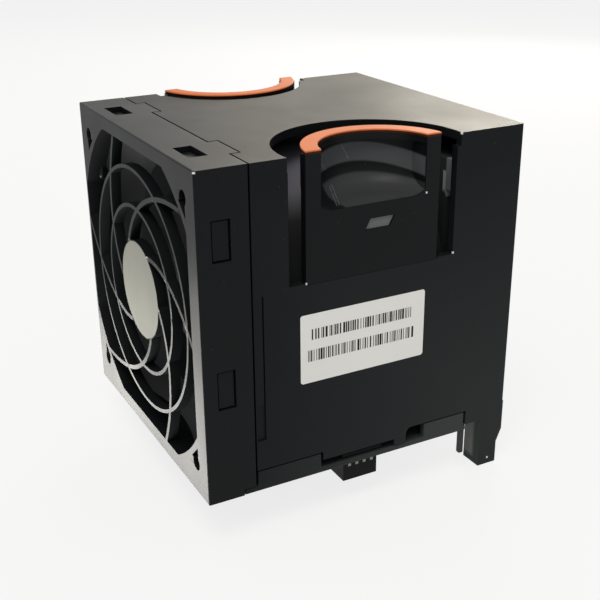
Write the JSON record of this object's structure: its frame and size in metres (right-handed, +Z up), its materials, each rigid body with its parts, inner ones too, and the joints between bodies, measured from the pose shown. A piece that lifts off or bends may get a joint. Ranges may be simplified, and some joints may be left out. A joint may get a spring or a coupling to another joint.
{
  "type": "server fan module",
  "caption": "Hot-swap server fan cartridge: spiral inlet grille, counter-rotating impellers, squeeze latches with finger scoops, rear legs and a blind-mate connector.",
  "frame": {"origin": "under the middle of the module, level with the feet of the two rear legs", "axes": "+Z up, -Y towards the air inlet with the grille, +X towards the side that carries the label"},
  "size_m": [0.0726, 0.0798, 0.0874],
  "materials": {
    "black_plastic": "satin moulded",
    "grille_plastic": "satin moulded",
    "tray_plastic": "satin moulded",
    "latch_plastic": "satin moulded",
    "fan_plastic": "glass-filled, matt",
    "impeller_plastic": "glass-filled, matt",
    "connector_plastic": "moulded",
    "hub_plate": "satin, pale warm grey",
    "orange_grip": "satin moulded",
    "label_stock": "printed label",
    "sticker_stock": "matt foil label",
    "isolator_rubber": "soft moulded",
    "lead_sleeve": "sleeving",
    "contact_metal": "plated",
    "yoke_steel": "drawn",
    "magnet": "bonded ferrite",
    "shaft_steel": "ground",
    "tube_brass": "turned",
    "bearing_steel": "polished",
    "core_steel": "laminated",
    "copper_wire": "enamelled copper wire",
    "circuit_board": "solder mask"
  },
  "bodies": {
    "cartridge": {"inlet_frame": "black_plastic", "inlet_grille": "grille_plastic", "hub_disc": "hub_plate", "housing_shroud": "black_plastic", "base_tray": "tray_plastic", "outlet_duct": "fan_plastic", "outlet_guard": "grille_plastic", "isolator_pads_front": "isolator_rubber", "isolator_pads_rear": "isolator_rubber", "connector_housing": "connector_plastic", "connector_contacts": "contact_metal", "fan_leads": "lead_sleeve", "side_label": "label_stock", "fan_label": "sticker_stock", "fan_frame_front": "fan_plastic", "bearing_tube_front": "tube_brass", "ball_bearings_front": "bearing_steel", "stator_core_front": "core_steel", "coil_windings_front": "copper_wire", "driver_board_front": "circuit_board", "fan_frame_rear": "fan_plastic", "bearing_tube_rear": "tube_brass", "ball_bearings_rear": "bearing_steel", "stator_core_rear": "core_steel", "coil_windings_rear": "copper_wire", "driver_board_rear": "circuit_board"},
    "front_rotor": {"impeller_front": "impeller_plastic", "rotor_yoke_front": "yoke_steel", "magnet_ring_front": "magnet", "rotor_shaft_front": "shaft_steel", "shaft_clip_front": "shaft_steel"},
    "rear_rotor": {"impeller_rear": "impeller_plastic", "rotor_yoke_rear": "yoke_steel", "magnet_ring_rear": "magnet", "rotor_shaft_rear": "shaft_steel", "shaft_clip_rear": "shaft_steel"},
    "latch_right": {"release_latch_right": "latch_plastic", "finger_grip_right": "orange_grip"},
    "latch_left": {"release_latch_left": "latch_plastic", "finger_grip_left": "orange_grip"}
  },
  "joints": [
    {"name": "front_rotor_spin", "type": "hinge", "parent": "cartridge", "child": "front_rotor", "pos_m": [0, -0.0144, 0.04955], "axis": [0, 1, 0], "continuous": true},
    {"name": "rear_rotor_spin", "type": "hinge", "parent": "cartridge", "child": "rear_rotor", "pos_m": [0, 0.0136, 0.04955], "axis": [0, 1, 0], "continuous": true},
    {"name": "latch_right_squeeze", "type": "hinge", "parent": "cartridge", "child": "latch_right", "pos_m": [0.0353, 0.0009, 0.0589], "axis": [0, -1, 0], "range_deg": [0, 6], "stiffness_Nm_per_rad": 0.15},
    {"name": "latch_left_squeeze", "type": "hinge", "parent": "cartridge", "child": "latch_left", "pos_m": [-0.0353, 0.0009, 0.0589], "axis": [0, 1, 0], "range_deg": [0, 3], "stiffness_Nm_per_rad": 0.15}
  ]
}
